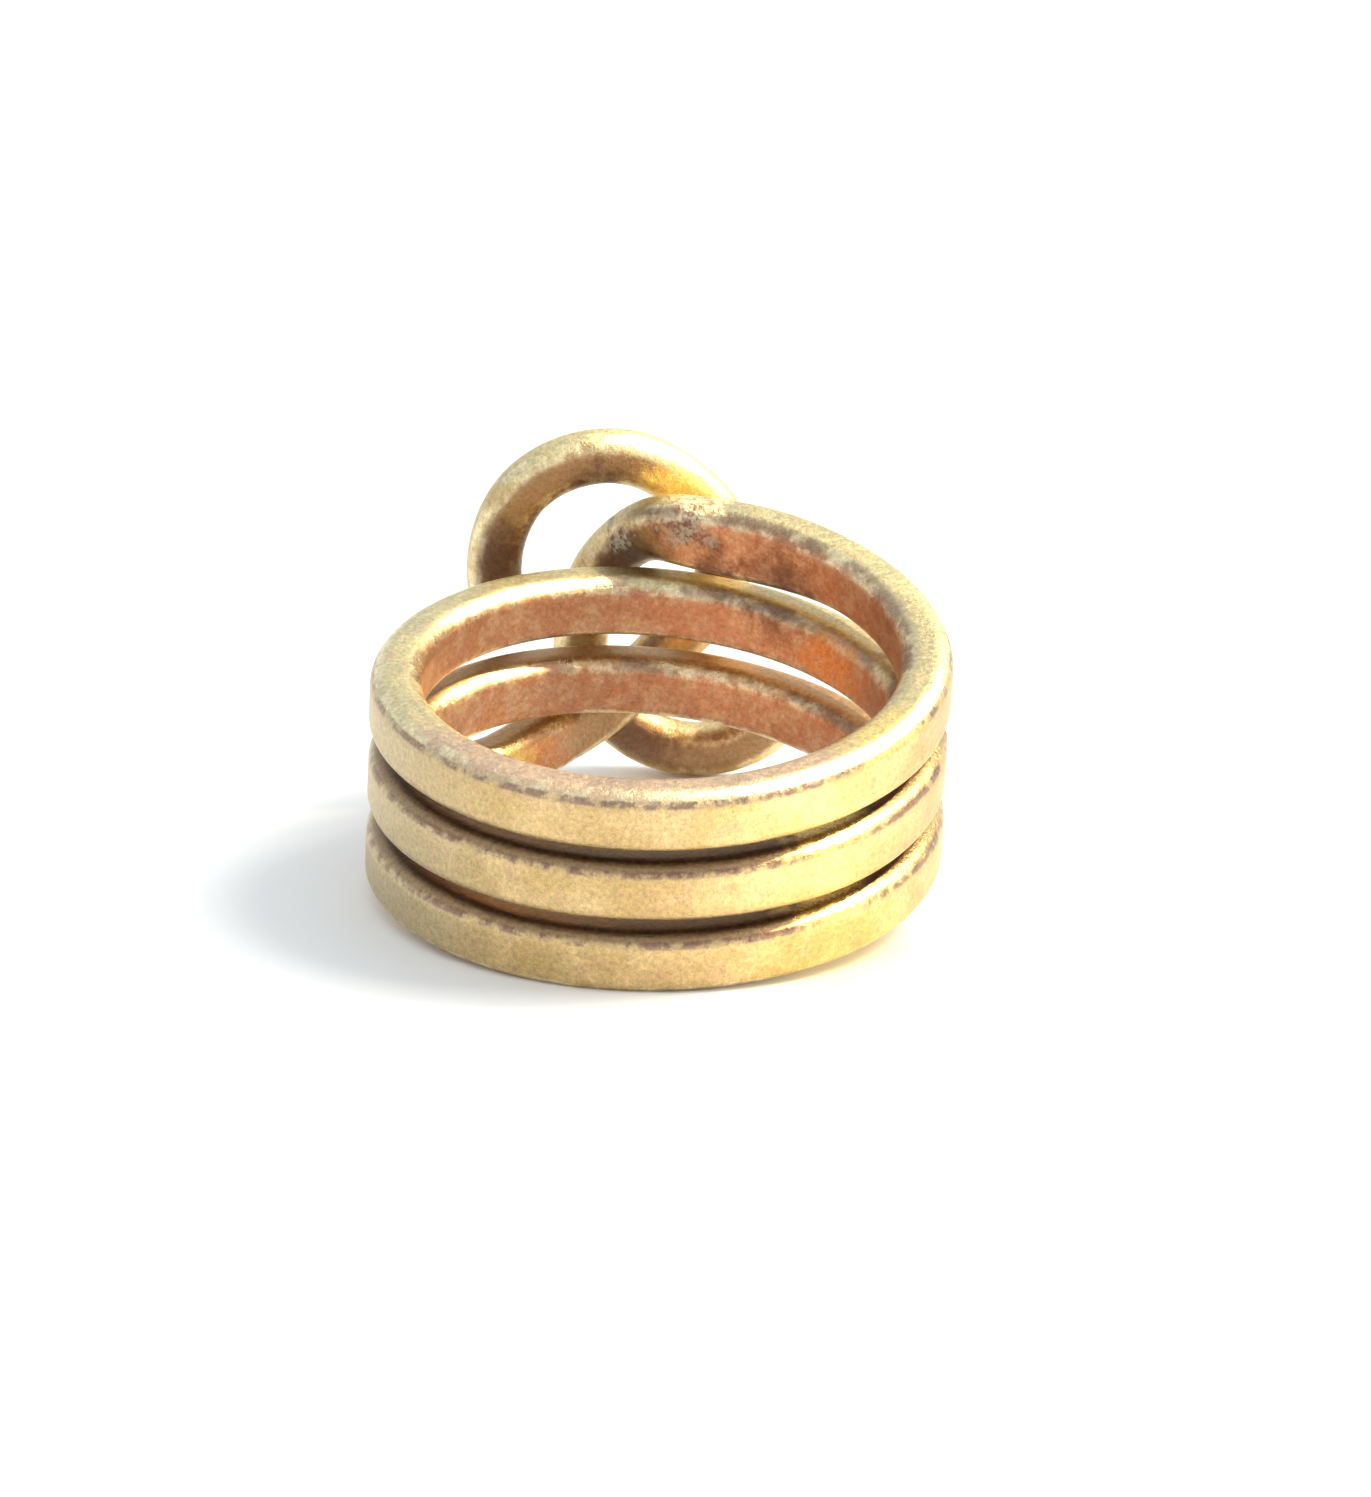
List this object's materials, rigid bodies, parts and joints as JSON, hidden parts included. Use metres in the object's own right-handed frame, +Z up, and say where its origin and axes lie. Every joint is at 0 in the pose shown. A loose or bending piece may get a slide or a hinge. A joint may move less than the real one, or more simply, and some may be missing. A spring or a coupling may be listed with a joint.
{
  "type": "disentanglement puzzle ring",
  "caption": "Finger ring coiled from two heavy brass wires whose hooked ends interlock in a knot outside the band.",
  "frame": {"origin": "on the surface the ring lies on, under the middle of its box", "axes": "+Z up; the ring lies with its finger hole leaning about 8.5 degrees from +Z, the knot on the far side at +Y, longest extent along Y and shortest along Z"},
  "size_m": [0.0218, 0.0264, 0.0149],
  "materials": {
    "upper_brass": "aged, hand-worn satin brass with coppery inner faces",
    "lower_brass": "aged, hand-worn satin brass with coppery inner faces"
  },
  "bodies": {
    "lower_wire": {"lower_wire": "lower_brass"},
    "upper_wire": {"upper_wire": "upper_brass"}
  },
  "joints": [
    {"name": "twist", "type": "hinge", "parent": "lower_wire", "child": "upper_wire", "pos_m": [0, -0.00201, 0.00552], "axis": [0.0285, -0.1454, 0.989], "range_deg": [-2, 4]}
  ]
}
